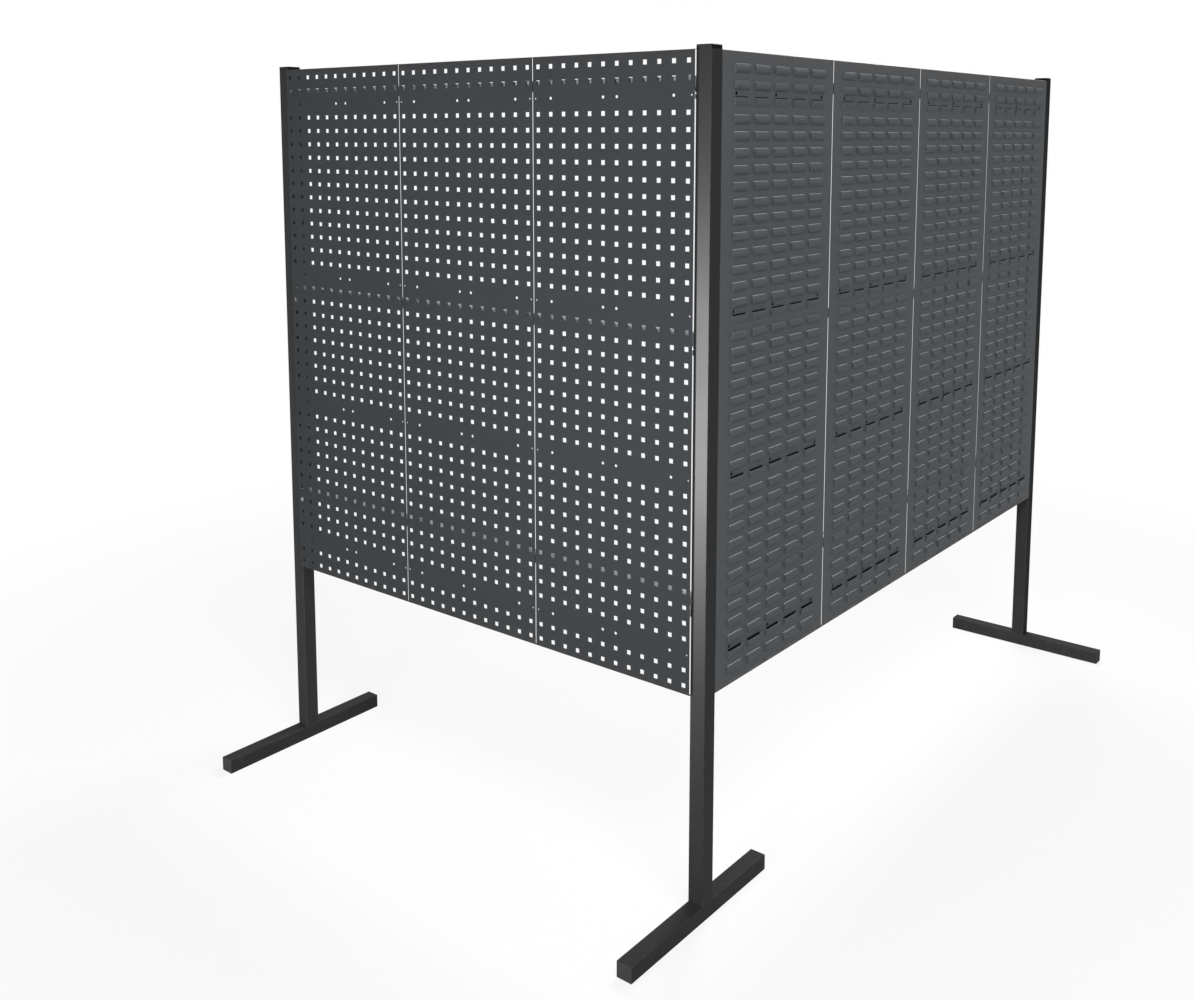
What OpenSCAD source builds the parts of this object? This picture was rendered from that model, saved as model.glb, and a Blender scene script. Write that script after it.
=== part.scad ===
// Free-standing L-shaped display stand: a wall of perforated panels and a wall
// of louvred panels, held on rails between three square posts with foot bars.
// Millimetres, +Z up, floor at z = 0. The perforated wall runs along X and
// faces -Y, the louvred wall runs along Y and faces +X.

/* [Perforated panels] */
// Height pitch of the square perforations
row_pitch = 38; // [34:0.5:42]
// Side pitch of the square perforations
col_pitch = 40.25; // [36:0.25:44]
// Side of one square perforation
perf_hole = 11; // [8:0.5:13]
// Centre of the top row below the panel's top edge
top_margin = 24; // [20:0.5:30]
// Centre of the bottom row above the panel's bottom edge
bottom_margin = 22; // [18:0.5:30]
// Centre of the end column from the panel's side edge
side_margin = 16.25; // [13:0.25:18]
// Diameter of the round fixing holes
fix_hole = 7.5; // [6:0.5:9]
// Gap between two perforated panels
perf_seam = 2.5; // [1.5:0.5:5]
// How far the last panel laps over the corner post
perf_lap = 2.5; // [0:0.5:6]

/* [Louvred panels] */
// Width of one louvred panel
louvre_panel_w = 510.5; // [480:0.5:540]
// Gap between two louvred panels
louvre_seam = 4; // [3:0.5:8]
// Plain edge at each side of a louvred panel
louvre_margin = 50; // [44:0.5:54]
// Width of one louvre as a part of the column pitch
louvre_fill = 0.71; // [0.6:0.01:0.8]
// Height of one louvre
louvre_h = 21; // [16:0.5:24]
// How far a louvre's bulge stands out from the sheet
louvre_out = 6; // [4:0.5:8]
// Part of a louvre's height that curls back above its bulge
louvre_curl = 0.465; // [0.3:0.005:0.5]
// Lip of the first louvre below the panel's top edge
louvre_first = 27.5; // [24:0.5:34]
// Lip of the last, cut-down louvre above the panel's bottom edge
louvre_last = 11; // [10:0.5:16]
// Height of the open slot above the louvres of a fixing row
slot_h = 2.5; // [1:0.5:4]
// Diameter of the fixing holes above those louvres
louvre_fix_hole = 9; // [7:0.5:10]
// Height of the strip behind each row of fixing holes
strip_h = 36; // [32:0.5:40]

/* [Sheet metal] */
// Thickness of the panel sheets
sheet_t = 1; // [0.8:0.1:1.5]
// Depth of the folded top and bottom edges
panel_depth = 8; // [6:0.5:12]

/* [Frame] */
// Side of the square posts
post_side = 42; // [40:1:46]
// Wall of the posts and foot bars
post_wall = 2.5; // [2:0.25:3]
// Top of the posts above the floor
post_top = 2047; // [1950:1:2150]
// Height of the black cap on each post
cap_h = 10; // [8:0.5:14]
// Length of the foot bars under the perforated wall
foot_l = 562; // [480:2:640]
// Length of the foot bar at the end of the louvred wall
end_foot_l = 531; // [450:1:610]
// Height of each foot bar
foot_h = 40; // [36:1:44]
// Foot bar's middle ahead of the post's axis
foot_shift = 19; // [0:1:30]
// Side of the square rails
rail_side = 26; // [25:0.5:30]
// Wall of the rails
rail_wall = 2; // [1.5:0.25:3]

/* [Hidden] */
perf_cols = 12;
perf_rows = 39;
louvre_cols = 5;
louvre_rows = 39;
perf_count = 3;
louvre_count = 4;
// Rows, counted from the top, that hold fixing holes in place of squares
fix_rows = [2, 15, 25, 36];
fix_cols = [1, 5, 6, 10];
edge_hole = 4;
edge_inset = 8;
panel_h = (perf_rows - 1) * row_pitch + top_margin + bottom_margin;
perf_w = (perf_cols - 1) * col_pitch + 2 * side_margin;
perf_step = perf_w + perf_seam;
louvre_step = louvre_panel_w + louvre_seam;
// Clearance between an end panel and the post beside it
end_gap = 0.3;
clear_a = end_gap + perf_count * perf_step - perf_seam - perf_lap;
clear_b = 2 * end_gap + louvre_count * louvre_step - louvre_seam;
// The perforated panels' folds bear on the fronts of the posts and rails
perf_proud = panel_depth;
panel_base = post_top - panel_h;
fold_r = 2.5;
corner_r = 1.5;

louvre_cell = (louvre_panel_w - 2 * louvre_margin) / (louvre_cols - 1 + louvre_fill);
louvre_w = louvre_fill * louvre_cell;
louvre_pitch = (panel_h - louvre_first - louvre_last) / (louvre_rows - 1);
last_clear = 1;
last_h = louvre_last - fold_r - last_clear;
last_out = louvre_out / 2;
fix_above_lip = 9.5;
// Fixing holes sit in line with a louvre's end: column, and end of the louvre
louvre_fixes = [[0, 0], [2, 0], [4, 1]];
fix_from_end = 8;
strip_t = 5;
strip_overlap = 8;
strip_start = louvre_margin - strip_overlap;

// Tops of the three rails, in rows below the first row of perforations
rail_rows = [0.88, 16.03, 32.25];
rail_tops = [for (r = rail_rows) post_top - top_margin - r * row_pitch];
rail_front = panel_depth;
rail_mid = rail_front + rail_side / 2;

bracket_leg = 25;
bracket_t = 2.5;
bracket_w = 24;
bracket_reach = 15;

clip_w = 16;
clip_rim = 3.5;
clip_t = 1.5;
clip_tab = 14;
clip_screw_v = rail_mid;
perf_clip_u = side_margin + col_pitch / 2;
louvre_clip_u = louvre_margin / 2;

screw_d = 5;
screw_hole = 5.2;
screw_l = 10;
head_d = clip_w - 2 * clip_rim;
head_h = 3;
drive_d = 3.5;

nut_t = 6;
nut_gap = 0.1;
bolt_d = 8;
bolt_hole = 8.4;
bolt_head = 13;
bolt_head_h = 5.5;
bolt_space = 18;
bolt_end = 4;
access_d = 17;
foot_cap_t = 3;
plug_l = 16;
plug_wall = 2;
plug_gap = 0.15;
cap_edge = 1.5;

foot_mid = post_side / 2 - foot_shift;
x_low = -clear_a - post_side;
x_high = post_side - foot_mid + end_foot_l / 2;
y_low = foot_mid - foot_l / 2;
y_high = 2 * post_side + clear_b;
centre = [(x_low + x_high) / 2, (y_low + y_high) / 2, 0];
cut = 0.5;
$fn = 48;

post_colour = [0.24, 0.25, 0.26];
rail_colour = [0.63, 0.64, 0.64];
strip_colour = [0.04, 0.04, 0.04];
perf_colour = [0.27, 0.29, 0.30];
louvre_colour = [0.32, 0.34, 0.36];
cap_colour = [0.03, 0.03, 0.03];
plug_colour = [0.16, 0.16, 0.16];
zinc_colour = [0.66, 0.67, 0.68];

// Wall frames: u runs along the wall, v runs from its front face to its back
module on_wall_a() { translate([-clear_a, 0, 0] - centre) children(); }
module on_wall_b() { translate([post_side, post_side, 0] - centre) rotate([0, 0, 90]) children(); }

// Front of the perforated panels, with the rails and fittings that go with them
module on_face_a() { on_wall_a() translate([0, -perf_proud, 0]) children(); }

// Flat shape in the wall's plane, as thick as t, starting at depth v
module upright(v, t) { translate([0, v + t, 0]) rotate([90, 0, 0]) linear_extrude(t) children(); }

// Profile in the depth and height plane, run along the wall for a length
module along(length) { rotate([90, 0, 90]) linear_extrude(length) children(); }

module rounded(a, b, r) {
    translate([r, 0]) square([a - 2 * r, b]);
    translate([0, r]) square([a, b - 2 * r]);
    for (x = [r, a - r], y = [r, b - r]) translate([x, y]) circle(r);
}

module tube(a, b, wall) {
    difference() {
        rounded(a, b, corner_r);
        translate([wall, wall]) rounded(a - 2 * wall, b - 2 * wall, corner_r / 2);
    }
}

// Screw with its head's underside at the origin and its shank along -Z
module screw() {
    difference() {
        union() {
            cylinder(d = head_d, h = head_h);
            translate([0, 0, -screw_l]) cylinder(d = screw_d, h = screw_l + cut);
        }
        translate([0, 0, head_h / 2]) cylinder(d = drive_d, h = head_h, $fn = 6);
    }
}

// Posts and their caps
module post_tube(u) {
    translate([u, 0, foot_h]) linear_extrude(post_top - foot_h) tube(post_side, post_side, post_wall);
}

function bracket_z(top) = top - rail_side - bracket_reach;

// Screw holes in the face of a post at u, bored along the wall
module post_holes(u) {
    for (top = rail_tops) translate([u - 2 * post_wall, rail_mid, bracket_z(top)])
        rotate([0, 90, 0]) cylinder(d = screw_hole, h = 4 * post_wall);
}

module left_post() {
    color(post_colour) difference() {
        on_wall_a() post_tube(-post_side);
        on_face_a() post_holes(0);
    }
}

module corner_post() {
    color(post_colour) difference() {
        on_wall_a() post_tube(clear_a);
        on_face_a() post_holes(clear_a);
        on_wall_b() post_holes(0);
    }
}

module right_post() {
    color(post_colour) difference() {
        on_wall_b() post_tube(clear_b);
        on_wall_b() post_holes(clear_b);
    }
}

module chamfered_side() {
    polygon([[0, 0], [post_side, 0], [post_side, cap_h - cap_edge], [post_side - cap_edge, cap_h],
        [cap_edge, cap_h], [0, cap_h - cap_edge]]);
}

// Hollow plug that slips into a tube, standing on z = 0
module plug(a, b, wall, length) {
    inset = wall + plug_gap;
    translate([inset, inset, 0]) linear_extrude(length)
        tube(a - 2 * inset, b - 2 * inset, plug_wall);
}

module post_cap(u) {
    color(cap_colour) translate([u, 0, post_top]) {
        intersection() {
            along(post_side) chamfered_side();
            upright(0, post_side) chamfered_side();
            linear_extrude(cap_h) rounded(post_side, post_side, corner_r);
        }
        translate([0, 0, -plug_l]) plug(post_side, post_side, post_wall, plug_l + cut);
    }
}

module left_post_cap() { on_wall_a() post_cap(-post_side); }
module corner_post_cap() { on_wall_a() post_cap(clear_a); }
module right_post_cap() { on_wall_b() post_cap(clear_b); }

// Foot bars lie across the wall under each post, bolted up into it
module bolt_places(u) {
    for (s = [-1, 1]) translate([u + post_side / 2, post_side / 2 + s * bolt_space / 2, 0]) children();
}

module foot_bar(u, length) {
    color(post_colour) difference() {
        translate([u, foot_mid + length / 2 - foot_cap_t, 0]) rotate([90, 0, 0])
            linear_extrude(length - 2 * foot_cap_t) tube(post_side, foot_h, post_wall);
        bolt_places(u) translate([0, 0, foot_h / 2]) cylinder(d = bolt_hole, h = foot_h);
        bolt_places(u) translate([0, 0, -cut]) cylinder(d = access_d, h = foot_h / 2);
    }
}

module foot_end_cap() {
    color(plug_colour) rotate([90, 0, 0]) {
        linear_extrude(foot_cap_t) rounded(post_side, foot_h, corner_r);
        translate([0, 0, -plug_l]) plug(post_side, foot_h, post_wall, plug_l + cut);
    }
}

module foot_end_caps(u, length) {
    reach = length / 2 - foot_cap_t;
    translate([u, foot_mid - reach, 0]) foot_end_cap();
    translate([u, foot_mid + reach, 0]) mirror([0, 1, 0]) foot_end_cap();
}

module left_foot_bar() { on_wall_a() foot_bar(-post_side, foot_l); }
module corner_foot_bar() { on_wall_a() foot_bar(clear_a, foot_l); }
module right_foot_bar() { on_wall_b() foot_bar(clear_b, end_foot_l); }
module left_foot_end_caps() { on_wall_a() foot_end_caps(-post_side, foot_l); }
module corner_foot_end_caps() { on_wall_a() foot_end_caps(clear_a, foot_l); }
module right_foot_end_caps() { on_wall_b() foot_end_caps(clear_b, end_foot_l); }

// Plate inside the bottom of a post that takes the two foot bolts
module nut_plate(u) {
    inset = post_wall + nut_gap;
    side = post_side - 2 * inset;
    color(zinc_colour) difference() {
        translate([u + inset, inset, foot_h]) linear_extrude(nut_t) rounded(side, side, corner_r);
        bolt_places(u) translate([0, 0, foot_h - cut]) cylinder(d = bolt_hole, h = nut_t + 2 * cut);
    }
}

module foot_bolt() {
    color(zinc_colour) translate([0, 0, foot_h - post_wall]) {
        translate([0, 0, -bolt_head_h]) cylinder(d = bolt_head, h = bolt_head_h, $fn = 6);
        translate([0, 0, -cut]) cylinder(d = bolt_d, h = post_wall + nut_t + bolt_end);
    }
}

module each_foot() {
    on_wall_a() for (u = [-post_side, clear_a]) { $u = u; children(); }
    on_wall_b() { $u = clear_b; children(); }
}

module post_nut_plates() { each_foot() nut_plate($u); }
module foot_bolts() { each_foot() bolt_places($u) foot_bolt(); }

// Rails run between the posts behind the panels
function perf_start(k) = end_gap + k * perf_step;
function louvre_start(k) = end_gap + k * louvre_step;

module perf_clip_places() {
    for (k = [0:perf_count - 1], u = [perf_clip_u, perf_w - perf_clip_u])
        translate([perf_start(k) + u, 0, 0]) children();
}

module louvre_clip_places() {
    for (k = [0:louvre_count - 1], u = [louvre_clip_u, louvre_panel_w - louvre_clip_u])
        translate([louvre_start(k) + u, 0, 0]) children();
}

module rail_hole() { cylinder(d = screw_hole, h = 4 * rail_wall); }

// A rail of a given length; its children are the places of its clip screws
module rail(i, length) {
    top = rail_tops[i];
    color(rail_colour) difference() {
        translate([0, 0, top - rail_side]) along(length)
            translate([rail_front, 0]) tube(rail_side, rail_side, rail_wall);
        translate([0, clip_screw_v, top - 2 * rail_wall]) children();
        for (u = [bracket_reach, length - bracket_reach])
            translate([u, rail_mid, top - rail_side - 2 * rail_wall]) rail_hole();
    }
}

module perf_rail_top() { on_face_a() rail(0, clear_a) perf_clip_places() rail_hole(); }
module perf_rail_middle() { on_face_a() rail(1, clear_a) perf_clip_places() rail_hole(); }
module perf_rail_bottom() { on_face_a() rail(2, clear_a) perf_clip_places() rail_hole(); }
module louvre_rail_top() { on_wall_b() rail(0, clear_b) louvre_clip_places() rail_hole(); }
module louvre_rail_middle() { on_wall_b() rail(1, clear_b) louvre_clip_places() rail_hole(); }
module louvre_rail_bottom() { on_wall_b() rail(2, clear_b) louvre_clip_places() rail_hole(); }

// Angle bracket under a rail's end: its corner is at the origin
module bracket() {
    color(zinc_colour) difference() {
        translate([0, -bracket_w / 2, 0]) mirror([0, 0, 1]) union() {
            cube([bracket_leg, bracket_w, bracket_t]);
            cube([bracket_t, bracket_w, bracket_leg]);
        }
        translate([bracket_reach, 0, -2 * bracket_t]) cylinder(d = screw_hole, h = 3 * bracket_t);
        translate([-bracket_t, 0, -bracket_reach]) rotate([0, 90, 0])
            cylinder(d = screw_hole, h = 3 * bracket_t);
    }
}

module bracket_screws() {
    color(zinc_colour) {
        translate([bracket_reach, 0, -bracket_t]) rotate([180, 0, 0]) screw();
        translate([bracket_t, 0, -bracket_reach]) rotate([0, 90, 0]) screw();
    }
}

module rail_ends(length) {
    for (top = rail_tops) translate([0, rail_mid, top - rail_side]) {
        children();
        translate([length, 0, 0]) mirror([1, 0, 0]) children();
    }
}

module perf_rail_brackets() { on_face_a() rail_ends(clear_a) bracket(); }
module louvre_rail_brackets() { on_wall_b() rail_ends(clear_b) bracket(); }
module perf_bracket_screws() { on_face_a() rail_ends(clear_a) bracket_screws(); }
module louvre_bracket_screws() { on_wall_b() rail_ends(clear_b) bracket_screws(); }

// Clip between a panel's back and the top of a rail
module clip() {
    color(zinc_colour) difference() {
        translate([-clip_w / 2, 0, 0]) union() {
            translate([0, sheet_t, 0]) cube([clip_w, clip_screw_v + clip_w / 2 - sheet_t, clip_t]);
            translate([0, sheet_t, 0]) cube([clip_w, clip_t, clip_tab]);
        }
        translate([0, clip_screw_v, -cut]) cylinder(d = screw_hole, h = clip_t + 2 * cut);
    }
}

module clip_screw() { color(zinc_colour) translate([0, clip_screw_v, clip_t]) screw(); }

module on_rails() { for (top = rail_tops) translate([0, 0, top]) children(); }

module perf_panel_clips() { on_face_a() on_rails() perf_clip_places() clip(); }
module louvre_panel_clips() { on_wall_b() on_rails() louvre_clip_places() clip(); }
module perf_clip_screws() { on_face_a() on_rails() perf_clip_places() clip_screw(); }
module louvre_clip_screws() { on_wall_b() on_rails() louvre_clip_places() clip_screw(); }

// Folded edge: a quarter bend and a flange, in depth and height, bend at z = 0
module fold() {
    intersection() {
        difference() {
            translate([fold_r, 0]) circle(fold_r);
            translate([fold_r, 0]) circle(fold_r - sheet_t);
        }
        square(fold_r);
    }
    translate([fold_r, fold_r - sheet_t]) square([panel_depth - fold_r, sheet_t]);
}

module folds(width) {
    translate([0, 0, panel_h - fold_r]) along(width) fold();
    translate([0, 0, fold_r]) mirror([0, 0, 1]) along(width) fold();
}

// Where panel k of each wall stands
module perf_at(k) { on_face_a() translate([perf_start(k), 0, panel_base]) children(); }
module louvre_at(k) { on_wall_b() translate([louvre_start(k), 0, panel_base]) children(); }

function is_fix_row(r) = len(search(r, fix_rows)) > 0;
function perf_z(r) = panel_h - top_margin - r * row_pitch;

module perforations() {
    for (r = [0:perf_rows - 1]) translate([0, perf_z(r)])
        if (is_fix_row(r)) {
            for (c = fix_cols) translate([side_margin + c * col_pitch, 0]) circle(d = fix_hole);
            for (u = [edge_inset, perf_w - edge_inset]) translate([u, 0]) circle(d = edge_hole);
        } else
            for (c = [0:perf_cols - 1])
                translate([side_margin + c * col_pitch, 0]) square(perf_hole, center = true);
}

module perf_panel(k) {
    color(perf_colour) perf_at(k) {
        upright(0, sheet_t) difference() {
            translate([0, fold_r]) square([perf_w, panel_h - 2 * fold_r]);
            perforations();
        }
        folds(perf_w);
    }
}

module perf_panel_left() { perf_panel(0); }
module perf_panel_centre() { perf_panel(1); }
module perf_panel_right() { perf_panel(2); }

// Side view of a louvre: its lip at z = 0, its front bulging to negative depth,
// its bulge's crest lower by the curled part of its height
function bulge_r(a, out) = (a * a + out * out) / (2 * out);

module louvre_side(h, out, curl, skin, back, rise) {
    r = bulge_r((1 - curl) * h, out);
    intersection() {
        translate([r - out, -curl * h]) circle(r - skin, $fn = 2 * $fn);
        translate([-out, -h]) square([out + back, h + rise]);
    }
}

function louvre_z(r) = panel_h - louvre_first - r * louvre_pitch;
function is_last_row(r) = r == louvre_rows - 1;
function row_h(r) = is_last_row(r) ? last_h : louvre_h;
function row_out(r) = is_last_row(r) ? last_out : louvre_out;
// The louvres of the fixing rows stand open at the lip
function row_curl(r) = is_fix_row(r) ? 0 : louvre_curl;
function row_rise(r) = is_fix_row(r) ? slot_h : cut;

module row_side(skin, back, rise) {
    louvre_side(row_h($r), row_out($r), row_curl($r), skin, back, rise);
}

module louvre_places() {
    for (r = [0:louvre_rows - 1], c = [0:louvre_cols - 1]) {
        $r = r;
        translate([louvre_margin + c * louvre_cell, 0, louvre_z(r)]) children();
    }
}

function fix_u(place) = louvre_margin + place[0] * louvre_cell
    + (place[1] == 0 ? fix_from_end : louvre_w - fix_from_end);
function fix_z(r) = louvre_z(r) + fix_above_lip;

module louvre_fix_holes() {
    for (r = fix_rows, place = louvre_fixes)
        translate([fix_u(place), fix_z(r)]) circle(d = louvre_fix_hole);
}

module louvre_panel(k) {
    color(louvre_colour) louvre_at(k) {
        difference() {
            union() {
                upright(0, sheet_t) difference() {
                    translate([0, fold_r]) square([louvre_panel_w, panel_h - 2 * fold_r]);
                    louvre_fix_holes();
                }
                louvre_places() along(louvre_w) row_side(0, sheet_t / 2, 0);
            }
            louvre_places() translate([sheet_t, 0, 0]) along(louvre_w - 2 * sheet_t)
                row_side(sheet_t, 2 * sheet_t, row_rise($r));
        }
        folds(louvre_panel_w);
    }
}

module louvre_panel_1() { louvre_panel(0); }
module louvre_panel_2() { louvre_panel(1); }
module louvre_panel_3() { louvre_panel(2); }
module louvre_panel_4() { louvre_panel(3); }

// Strips welded behind the fixing rows of a louvred panel
module louvre_strips(k) {
    color(strip_colour) louvre_at(k)
        upright(sheet_t, strip_t) difference() {
            for (r = fix_rows) translate([strip_start, fix_z(r) + strip_overlap - strip_h])
                square([louvre_panel_w - 2 * strip_start, strip_h]);
            louvre_fix_holes();
        }
}

module louvre_strips_1() { louvre_strips(0); }
module louvre_strips_2() { louvre_strips(1); }
module louvre_strips_3() { louvre_strips(2); }
module louvre_strips_4() { louvre_strips(3); }

left_post();
corner_post();
right_post();
left_post_cap();
corner_post_cap();
right_post_cap();
left_foot_bar();
corner_foot_bar();
right_foot_bar();
left_foot_end_caps();
corner_foot_end_caps();
right_foot_end_caps();
post_nut_plates();
foot_bolts();
perf_rail_top();
perf_rail_middle();
perf_rail_bottom();
louvre_rail_top();
louvre_rail_middle();
louvre_rail_bottom();
perf_rail_brackets();
louvre_rail_brackets();
perf_bracket_screws();
louvre_bracket_screws();
perf_panel_left();
perf_panel_centre();
perf_panel_right();
louvre_panel_1();
louvre_panel_2();
louvre_panel_3();
louvre_panel_4();
louvre_strips_1();
louvre_strips_2();
louvre_strips_3();
louvre_strips_4();
perf_panel_clips();
louvre_panel_clips();
perf_clip_screws();
louvre_clip_screws();
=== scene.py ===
"""Looks of the L-shaped panel display stand: powder-coated posts and panels, plastic caps, zinc
hardware, a pale floor, soft studio light and a camera at the photograph's angle."""
import bpy
import math
import numpy as np
from mathutils import Matrix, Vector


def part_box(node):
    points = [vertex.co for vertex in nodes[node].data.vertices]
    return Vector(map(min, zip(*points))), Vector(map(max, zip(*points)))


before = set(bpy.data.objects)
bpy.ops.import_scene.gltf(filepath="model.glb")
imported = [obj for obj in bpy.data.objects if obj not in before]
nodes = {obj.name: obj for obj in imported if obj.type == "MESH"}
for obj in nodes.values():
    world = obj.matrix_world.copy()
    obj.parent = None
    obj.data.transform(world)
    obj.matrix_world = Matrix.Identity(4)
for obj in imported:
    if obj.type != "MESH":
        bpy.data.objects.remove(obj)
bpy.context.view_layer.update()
scene = bpy.context.scene


# Camera: its place in metres, its turn in degrees, and its lens in pixels of the photograph

IMAGE_W, IMAGE_H = 1194, 1000
CAMERA_PLACE = (2.1625, -3.2503, 1.8571)
CAMERA_AZIMUTH, CAMERA_PITCH = 38.704, 7.011
FOCAL_PX, AXIS_PX = 1253.3, (597.0, 290.0)
SENSOR_W = 36.0
FARTHEST = 200.0


def set_up(obj, place, right, up, back):
    """Turns an object's own x, y and z to right, up and back, puts it at a place and adds it."""
    turn = np.eye(4)
    turn[:3, 0], turn[:3, 1], turn[:3, 2], turn[:3, 3] = right, up, back, place
    obj.matrix_world = Matrix(turn.tolist())
    scene.collection.objects.link(obj)


def photo_camera():
    """Camera turned by the azimuth from +Y towards -X and tipped down by the pitch. The lens gives
    the focal length, and the shift puts the optical axis at its pixel."""
    a, p = math.radians(CAMERA_AZIMUTH), math.radians(CAMERA_PITCH)
    ahead = np.array([-math.cos(p) * math.sin(a), math.cos(p) * math.cos(a), -math.sin(p)])
    right = np.array([math.cos(a), math.sin(a), 0.0])
    data = bpy.data.cameras.new("photo_camera")
    data.sensor_fit = "HORIZONTAL"
    data.sensor_width = SENSOR_W
    data.lens = SENSOR_W * FOCAL_PX / IMAGE_W
    data.shift_x = (IMAGE_W / 2 - AXIS_PX[0]) / IMAGE_W
    data.shift_y = (AXIS_PX[1] - IMAGE_H / 2) / IMAGE_W
    data.clip_end = FARTHEST
    camera = bpy.data.objects.new("photo_camera", data)
    set_up(camera, CAMERA_PLACE, right, np.cross(right, ahead), -ahead)
    scene.camera = camera


photo_camera()


# Shader maths

class Value:
    """A node's output. Python's operators on it add Math nodes."""

    def __init__(self, paint, socket):
        self.paint, self.socket = paint, socket

    def _math(self, operation, *others):
        return self.paint.maths(operation, self, *others)

    def __add__(self, o): return self._math("ADD", o)
    def __sub__(self, o): return self._math("SUBTRACT", o)
    def __mul__(self, o): return self._math("MULTIPLY", o)
    def __truediv__(self, o): return self._math("DIVIDE", o)
    def __radd__(self, o): return self._math("ADD", o)
    def __rsub__(self, o): return self.paint.maths("SUBTRACT", o, self)
    def __rmul__(self, o): return self._math("MULTIPLY", o)
    def __abs__(self): return self._math("ABSOLUTE")
    def low(self, o): return self._math("MINIMUM", o)
    def high(self, o): return self._math("MAXIMUM", o)
    def wrap(self, top): return self._math("FLOORED_MODULO", top)

    def ramp(self, start, end):
        """Smooth step: 0 at start, 1 at end."""
        return self.paint.node("ShaderNodeMapRange", {"interpolation_type": "SMOOTHSTEP"},
            {"Value": self, "From Min": start, "From Max": end})

    def spread(self, gain):
        """How far a noise is from its middle, times a gain."""
        return (self - 0.5) * gain

    def out(self, key):
        """Another output of the same node."""
        return Value(self.paint, self.socket.node.outputs[key])


class Paint:
    """A node tree, and the one method that adds a node to it."""

    # Sockets of a Mix node that mixes colours: its amount, two colours and result
    MIX_AMOUNT, MIX_A, MIX_B, MIX_RESULT = 0, 6, 7, 2

    def __init__(self, tree):
        self.tree = tree
        self.tree.nodes.clear()

    def node(self, kind, settings=None, inputs=None, out=0):
        """Adds a node of a kind, with its settings, then the numbers or links of its inputs."""
        n = self.tree.nodes.new(kind)
        for key, value in (settings or {}).items():
            setattr(n, key, value)
        for key, value in (inputs or {}).items():
            if isinstance(value, Value):
                self.tree.links.new(value.socket, n.inputs[key])
            else:
                n.inputs[key].default_value = value
        return Value(self, n.outputs[out]) if n.outputs else None

    def maths(self, operation, *terms):
        """Adds a Math node on one or two terms."""
        return self.node("ShaderNodeMath", {"operation": operation}, dict(enumerate(terms)))

    def blend(self, amount, a, b):
        """Colour a where amount is 0, colour b where it is 1."""
        return self.node("ShaderNodeMix", {"data_type": "RGBA"},
            {self.MIX_AMOUNT: amount, self.MIX_A: a, self.MIX_B: b}, self.MIX_RESULT)

    def place(self):
        """Object coordinates in metres."""
        return self.node("ShaderNodeTexCoord", out="Object")

    def parts(self, spot):
        """The x, y and z of a spot."""
        x = self.node("ShaderNodeSeparateXYZ", None, {0: spot}, "X")
        return x, x.out("Y"), x.out("Z")

    def cloud(self, spot, scale, detail=2.0, rough=0.5):
        """Noise from 0 to 1, with about scale patches in a metre."""
        return self.node("ShaderNodeTexNoise", None,
            {"Vector": spot, "Scale": scale, "Detail": detail, "Roughness": rough})

    def bumps(self, height, depth):
        """Normal of a surface that rises by depth, in metres, where height is 1."""
        return self.node("ShaderNodeBump", None, {"Strength": 1.0, "Distance": depth, "Height": height})


def shade(colour, factor=1.0):
    """A colour in sRGB levels from 0 to 255, times a factor, as linear colour by the sRGB curve."""
    level = np.array(colour) * factor / 255.0
    linear = np.where(level <= 0.04045, level / 12.92, ((level + 0.055) / 1.055) ** 2.4)
    return (*linear.tolist(), 1.0)


def finish_of(name):
    """A new material and the paint for its node tree."""
    material = bpy.data.materials.new(name)
    material.use_nodes = True
    return material, Paint(material.node_tree)


def surface(paint, inputs):
    """Principled surface from the numbers or links of its sockets."""
    shader = paint.node("ShaderNodeBsdfPrincipled", None, inputs)
    paint.node("ShaderNodeOutputMaterial", None, {"Surface": shader})


def dress(material, *names):
    """Gives the named nodes a material."""
    for name in names:
        for slot in nodes[name].material_slots:
            slot.material = material


# Sizes of the stand that the finishes follow, in metres

perf_low, perf_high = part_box("perf_panel_left")
louvre_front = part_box("louvre_panel_1")[1].x
PANEL_TOP, PANEL_BASE = perf_high.z, perf_low.z
POST_SIDE = 0.042
ROW_PITCH, COL_PITCH, PERF_HOLE = 0.038, 0.04025, 0.011
TOP_MARGIN, SIDE_MARGIN, PERF_STEP = 0.024, 0.01625, 0.47775
FIX_ROWS = (2, 15, 25, 36)
LOUVRE_ROWS, LOUVRE_FIRST, LOUVRE_LAST, LOUVRE_LIP = 39, 0.0275, 0.011, 0.0058
LOUVRE_PITCH = (PANEL_TOP - PANEL_BASE - LOUVRE_FIRST - LOUVRE_LAST) / (LOUVRE_ROWS - 1)

WALL_PANELS = (1, 2, 3, 4)
SIDES = ("left", "corner", "right")


def coat_grain(paint, spot):
    """Orange peel of a powder coat: 0.7 of a noise of about 1 mm and 0.3 of one of 0.3 mm."""
    return paint.cloud(spot, scale=900.0) * 0.7 + paint.cloud(spot, scale=3200.0, detail=1.0) * 0.3


# Panels: each tone is blended in by a share of its own mask

PANEL_ROUGH, PANEL_GRAIN_DEPTH = 0.58, 0.00012
FOLD_REACH, FOLD_SHARE = 0.05, 0.55
SPECK_SHARE, RIM_HIGHLIGHT_SHARE = 0.12, 0.35
RIM_WIDTH = 0.0012
LIP_CORE, LIP_EDGE, LIP_RISE = 0.0005, 0.0022, 0.0008


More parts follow.
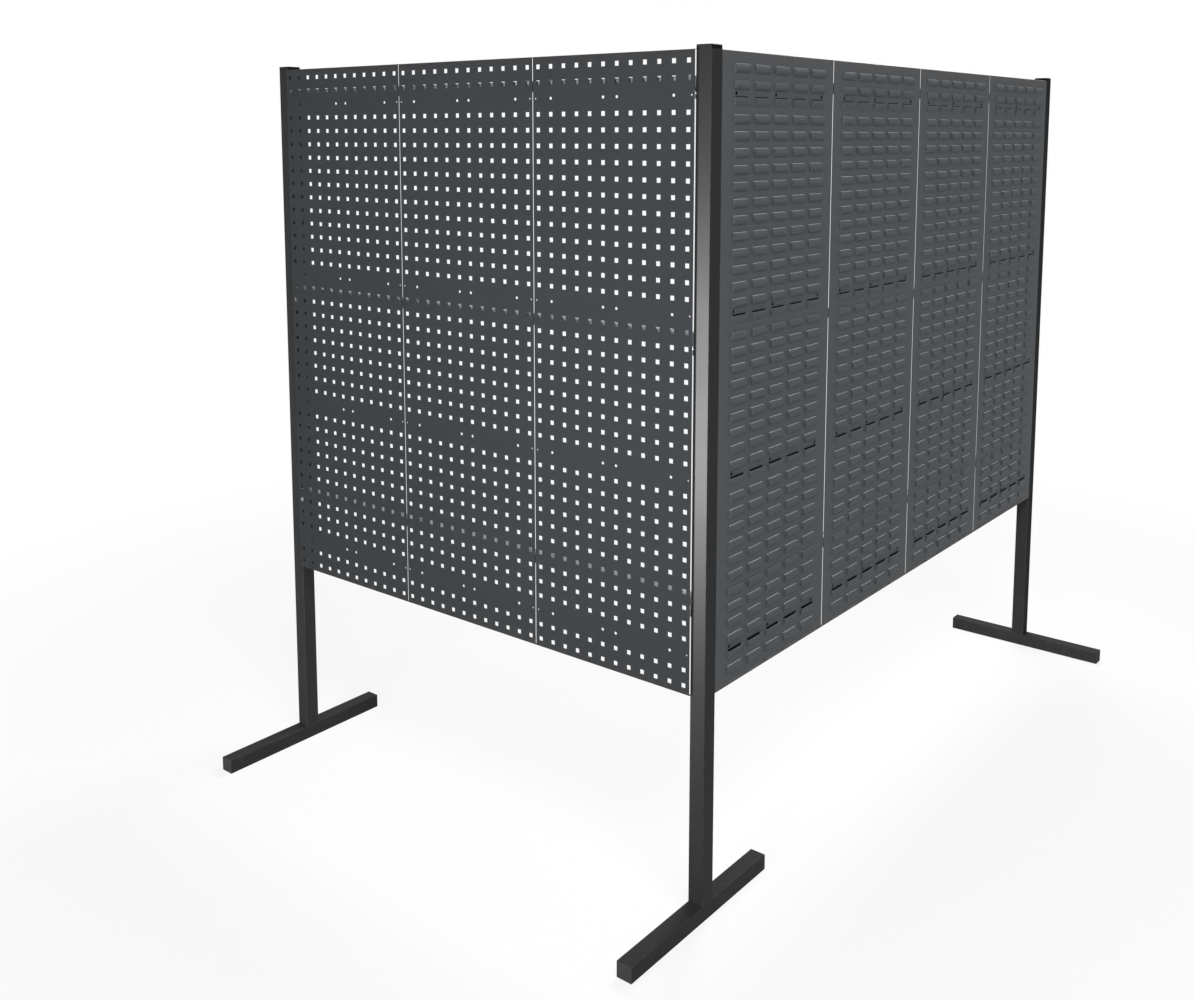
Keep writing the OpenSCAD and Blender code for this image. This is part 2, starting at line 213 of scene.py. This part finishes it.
def panel_finish(name, colour, fold_colour, shine, rim):
    """Matt powder coat on sheet, with its specular level in shine: slow cloudiness, fine specks and
    grain, the fold's warmer tone towards the top and bottom edges, and a painted highlight, a paler
    tone, where rim(x, z) is 1."""
    material, paint = finish_of(name)
    spot = paint.place()
    x, _, z = paint.parts(spot)
    slow = paint.cloud(spot, scale=2.2, detail=3.0)
    specks = paint.cloud(spot, scale=420.0, rough=0.7).ramp(0.45, 0.75)
    grain = coat_grain(paint, spot)
    fold = 1 - (z - PANEL_BASE).low(PANEL_TOP - z).ramp(0.0, FOLD_REACH)
    tone = paint.blend(slow.spread(0.9) + 0.5, shade(colour, 0.94), shade(colour, 1.05))
    tone = paint.blend(fold * FOLD_SHARE, tone, shade(fold_colour))
    tone = paint.blend(specks * SPECK_SHARE, tone, shade(colour, 1.25))
    # Painted highlight: a paler tone on the edges of the perforations and on the louvre lips
    tone = paint.blend(rim(x, z) * RIM_HIGHLIGHT_SHARE, tone, shade(colour, 1.55))
    surface(paint, {"Specular IOR Level": shine, "Metallic": 0.0, "Base Color": tone,
        "Roughness": PANEL_ROUGH + slow.spread(0.10) + grain.spread(0.12),
        "Normal": paint.bumps(grain, PANEL_GRAIN_DEPTH)})
    return material


def perforation_rim_highlights(x, z):
    """1 at the sides of the square perforations, where a highlight is painted, on the lattice of each
    panel, and 0 in the rows that hold round fixing holes instead."""
    first_column, first_row = perf_low.x + SIDE_MARGIN, PANEL_TOP - TOP_MARGIN
    along = (x - (first_column - COL_PITCH / 2)).wrap(PERF_STEP)
    across = along.wrap(COL_PITCH) - COL_PITCH / 2
    down = (first_row + ROW_PITCH / 2 - z).wrap(ROW_PITCH) - ROW_PITCH / 2
    past_side = abs(across).high(abs(down)) - PERF_HOLE / 2
    rims = 1 - abs(past_side).ramp(0.0, RIM_WIDTH)
    row = (first_row - z) / ROW_PITCH
    for fixing in FIX_ROWS:
        rims = rims * abs(row - fixing).ramp(0.45, 0.5)
    return rims


def louvre_lip_highlights(x, z):
    """1 at the lips of the louvres, clear of the flat sheet, where a highlight is painted."""
    first_lip = PANEL_TOP - LOUVRE_FIRST
    below = (first_lip + LOUVRE_PITCH / 2 - z).wrap(LOUVRE_PITCH) - LOUVRE_PITCH / 2
    proud = (x - (louvre_front - LOUVRE_LIP)).ramp(0.0, LIP_RISE)
    return (1 - abs(below).ramp(LIP_CORE, LIP_EDGE)) * proud


dress(panel_finish("perforated_panel_coat", (59, 63, 66), (64, 62, 62), 0.0048, perforation_rim_highlights),
    "perf_panel_left", "perf_panel_centre", "perf_panel_right")
dress(panel_finish("louvred_panel_coat", (81, 85, 88), (85, 82, 82), 0.12, louvre_lip_highlights),
    *(f"louvre_panel_{k}" for k in WALL_PANELS))


# Posts, foot bars and rails

# Tone and specular level of each post's coat. The posts share one coat; their tones differ as painted
# light, each lighter or darker by the light that falls on it
POST_COATS_PAINTED_LIGHT = {"left": ((49, 49, 49), 0.03), "corner": ((46, 46, 46), 0.03), "right": ((55, 55, 55), 0.0)}
FOOT_TONE, RAIL_TONE = (47, 47, 47), (160, 162, 164)
BAR_SHINE, POST_ROUGH, BAR_ROUGH = 0.03, 0.38, 0.5
TUBE_GRAIN_DEPTH = 0.00006
WORN_SHARE, SCUFF_SHARE, SCUFF_ROUGH = 0.4, 0.3, 0.15
POST_RIM = (POST_SIDE - 0.0025, POST_SIDE - 0.0008)
BAR_RIM = (1.88, 1.94)
ACROSS_X, ACROSS_Y = 0, 1


def tube_finish(name, colour, shine, rough, rim, scuffed=None):
    """Satin powder coat on square tube, with its specular level in shine and its roughness in rough:
    slow cloudiness, orange peel, paler worn corners where rim(x, y, z) is 1, and faint scuffs where
    scuffed(z), if given, is 1."""
    material, paint = finish_of(name)
    spot = paint.place()
    x, y, z = paint.parts(spot)
    slow = paint.cloud(spot, scale=5.0, detail=3.0)
    worn = paint.cloud(spot, scale=60.0, detail=4.0, rough=0.7).ramp(0.35, 0.7)
    tone = paint.blend(slow.spread(0.8) + 0.5, shade(colour, 0.93), shade(colour, 1.07))
    tone = paint.blend(rim(x, y, z) * worn * WORN_SHARE, tone, shade(colour, 1.7))
    roughness = rough + slow.spread(0.08)
    if scuffed:
        scuffs = scuffed(z) * paint.cloud(spot, scale=26.0, detail=5.0, rough=0.75).ramp(0.55, 0.75)
        tone = paint.blend(scuffs * SCUFF_SHARE, tone, shade(colour, 1.5))
        roughness = roughness + scuffs * SCUFF_ROUGH
    surface(paint, {"Specular IOR Level": shine, "Metallic": 0.0, "Base Color": tone,
        "Roughness": roughness, "Normal": paint.bumps(coat_grain(paint, spot), TUBE_GRAIN_DEPTH)})
    return material


def post_corners(name):
    """1 on the rounded corners of an upright tube, where the distances from its middle in x and y
    add up to nearly its side."""
    low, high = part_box(name)
    middle = (low + high) / 2
    return lambda x, y, z: (abs(x - middle.x) + abs(y - middle.y)).ramp(*POST_RIM)


def bar_corners(name, across):
    """1 on the rounded corners of a tube that lies flat, where the distances from its middle, sideways
    and upwards, in half widths, add up to nearly 2. The axis across the tube is its sideways one."""
    low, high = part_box(name)
    middle, half = (low + high) / 2, (high - low) / 2

    def corners(x, y, z):
        sideways = abs(((x, y)[across] - middle[across]) / half[across])
        return (sideways + abs((z - middle.z) / half.z)).ramp(*BAR_RIM)

    return corners


def low_on_post(z):
    """1 at the foot of a post, fading out at 35 cm."""
    return 1 - z.ramp(0.05, 0.35)


def clear_of_floor(z):
    """0 at the floor, 1 from 2 cm up."""
    return z.ramp(0.0, 0.02)


# Each post gets its own painted-light tone of the one shared coat
for side, (tone, shine) in POST_COATS_PAINTED_LIGHT.items():
    post = f"{side}_post"
    dress(tube_finish(post + "_coat", tone, shine, POST_ROUGH, post_corners(post), low_on_post), post)
for side, across in zip(SIDES, (ACROSS_X, ACROSS_X, ACROSS_Y)):
    bar = f"{side}_foot_bar"
    dress(tube_finish(bar + "_coat", FOOT_TONE, BAR_SHINE, BAR_ROUGH, bar_corners(bar, across),
        clear_of_floor), bar)
for wall, across in (("perf", ACROSS_Y), ("louvre", ACROSS_X)):
    for level in ("top", "middle", "bottom"):
        rail = f"{wall}_rail_{level}"
        dress(tube_finish(rail + "_coat", RAIL_TONE, BAR_SHINE, BAR_ROUGH, bar_corners(rail, across)), rail)


# Strips, caps, plugs and hardware

DULL_SHINE, DULL_GRAIN_DEPTH = 0.05, 0.0001
STRIP_ROUGH, PLASTIC_ROUGH, ZINC_ROUGH = 0.55, 0.60, 0.32
ZINC_DEPTH = 0.0002


def dull_surface(paint, tone, rough, grain):
    """Surface with little gloss, whose grain gives its bumps."""
    surface(paint, {"Specular IOR Level": DULL_SHINE, "Base Color": tone, "Roughness": rough,
        "Normal": paint.bumps(grain, DULL_GRAIN_DEPTH)})


def shade_strip_finish():
    """Near-black tone of the strips behind the fixing rows, painted shade so that the louvre slits and
    fixing holes in front of them read dark.
    """
    material, paint = finish_of("strip_painted_shade")
    spot = paint.place()
    grain = coat_grain(paint, spot)
    tone = paint.blend(paint.cloud(spot, scale=9.0, detail=3.0), shade((6, 6, 7)), shade((11, 11, 12)))
    dull_surface(paint, tone, STRIP_ROUGH + grain.spread(0.15), grain)
    return material


def moulded_plastic(name, dark, light):
    """Moulded plastic: spark-eroded grain, and slow cloudiness between a dark and a light tone."""
    material, paint = finish_of(name)
    spot = paint.place()
    grain = paint.cloud(spot, scale=1500.0, detail=3.0, rough=0.6)
    tone = paint.blend(paint.cloud(spot, scale=40.0, detail=3.0), shade(dark), shade(light))
    dull_surface(paint, tone, PLASTIC_ROUGH + grain.spread(0.25), grain)
    return material


def zinc_plate():
    """Zinc-plated steel: crystalline patches and clouds in tone and gloss, with shallow waves."""
    material, paint = finish_of("zinc_plate")
    spot = paint.place()
    patch = paint.node("ShaderNodeTexVoronoi", None, {"Vector": spot, "Scale": 260.0}, "Color")
    level = paint.node("ShaderNodeSeparateColor", None, {0: patch})
    slow = paint.cloud(spot, scale=80.0, detail=4.0)
    tone = paint.blend(level * 0.6 + slow * 0.4, shade((150, 152, 154)), shade((192, 193, 196)))
    surface(paint, {"Metallic": 1.0, "Base Color": tone,
        "Roughness": ZINC_ROUGH + level * 0.12 + slow.spread(0.1),
        "Normal": paint.bumps(slow, ZINC_DEPTH)})
    return material


# The strips are painted near black as shade behind the fixing rows
dress(shade_strip_finish(), *(f"louvre_strips_{k}" for k in WALL_PANELS))
dress(moulded_plastic("post_cap_plastic", (4, 4, 4), (10, 10, 11)),
    *(f"{side}_post_cap" for side in SIDES))
dress(moulded_plastic("foot_plug_plastic", (36, 36, 37), (46, 46, 47)),
    *(f"{side}_foot_end_caps" for side in SIDES))
dress(zinc_plate(), "post_nut_plates", "foot_bolts",
    *(f"{wall}_{piece}" for wall in ("perf", "louvre")
      for piece in ("rail_brackets", "bracket_screws", "panel_clips", "clip_screws")))


# Floor, background and light

WHITE = (1.0, 1.0, 1.0, 1.0)
FLOOR_HALF, FLOOR_CELLS = 30.0, 4
# Share of the real shadow that the floor shows, and where it fades out, in metres from the middle
FLOOR_SHADE, SHADE_NEAR, SHADE_FAR = 0.2, 1.4, 3.6
AMBIENT = 0.17


def seen_ray(paint):
    """1 for rays that show the background: straight from the camera, mirrored or passed through."""
    camera = paint.node("ShaderNodeLightPath", out="Is Camera Ray")
    return camera.high(camera.out("Is Glossy Ray")).high(camera.out("Is Transmission Ray"))


def floor_finish():
    """Pale floor that lights the stand as a matt surface does, and is seen as white with a share of
    its shadow near the stand."""
    material, paint = finish_of("pale_floor")
    spot = paint.place()
    speck = paint.cloud(spot, scale=30.0, detail=3.0)
    tone = paint.blend(speck, shade((236, 236, 236)), shade((242, 242, 242)))
    lit = paint.node("ShaderNodeBsdfDiffuse", None, {"Color": tone})
    white = paint.node("ShaderNodeEmission", None, {"Color": WHITE, "Strength": 1.0})
    reach = paint.node("ShaderNodeVectorMath", {"operation": "LENGTH"}, {0: spot}, "Value")
    shown = FLOOR_SHADE * (1 - reach.ramp(SHADE_NEAR, SHADE_FAR))
    real = 1 - seen_ray(paint) * (1 - shown)
    mixed = paint.node("ShaderNodeMixShader", None, {0: real, 1: white, 2: lit})
    paint.node("ShaderNodeOutputMaterial", None, {"Surface": mixed})
    return material


def pale_floor():
    """Flat square grid of cells, as far as the half width each way in x and y, at z = 0."""
    side = FLOOR_CELLS + 1
    step = np.linspace(-FLOOR_HALF, FLOOR_HALF, side)
    gx, gy = np.meshgrid(step, step, indexing="ij")
    points = np.stack([gx, gy, np.zeros_like(gx)], axis=-1).reshape(-1, 3)
    i = np.arange(side * side).reshape(side, side)
    faces = np.stack([i[:-1, :-1], i[1:, :-1], i[1:, 1:], i[:-1, 1:]], axis=-1).reshape(-1, 4)
    mesh = bpy.data.meshes.new("pale_floor")
    mesh.from_pydata(points.tolist(), [], faces.tolist())
    mesh.materials.append(floor_finish())
    floor = bpy.data.objects.new("pale_floor", mesh)
    scene.collection.objects.link(floor)


def studio_world():
    """World that is seen as white and lights the stand with a low ambient level."""
    world = bpy.data.worlds.new("studio")
    world.use_nodes = True
    paint = Paint(world.node_tree)
    white = paint.node("ShaderNodeBackground", None, {"Color": WHITE, "Strength": 1.0})
    soft = paint.node("ShaderNodeBackground", None, {"Color": WHITE, "Strength": AMBIENT})
    mixed = paint.node("ShaderNodeMixShader", None, {0: seen_ray(paint), 1: soft, 2: white})
    paint.node("ShaderNodeOutputWorld", None, {"Surface": mixed})
    scene.world = world


def soft_box(name, place, target, size, power, gloss_only=False):
    """Rectangular lamp at a place, facing a target, with its width and height in size; a lamp for
    gloss only shows in reflections and adds no light to matt colour."""
    data = bpy.data.lights.new(name, "AREA")
    data.shape, data.energy = "RECTANGLE", power
    data.size, data.size_y = size
    lamp = bpy.data.objects.new(name, data)
    back = np.array(place, float) - np.array(target, float)
    back /= np.linalg.norm(back)
    right = np.cross([0.0, 0.0, 1.0], back)
    right /= np.linalg.norm(right)
    set_up(lamp, place, right, np.cross(back, right), back)
    lamp.visible_camera = False
    lamp.visible_diffuse = not gloss_only


pale_floor()
studio_world()
soft_box("key_light", place=(3.8, -3.2, 6.2), target=(0.4, -0.2, 1.2), size=(2.6, 2.6), power=250.0)
soft_box("front_light", place=(1.3, -6.9, 2.7), target=(0.2, -0.3, 1.2), size=(1.6, 1.6), power=200.0)
soft_box("post_light", place=(-1.0, -3.31, 0.48), target=(0.60, -0.93, 1.18), size=(0.5, 1.5),
    power=1250.0, gloss_only=True)
soft_box("back_light", place=(-0.1, 1.7, 3.3), target=(0.0, -0.9, 1.2), size=(1.4, 1.4), power=110.0)

scene.view_settings.view_transform = "Standard"
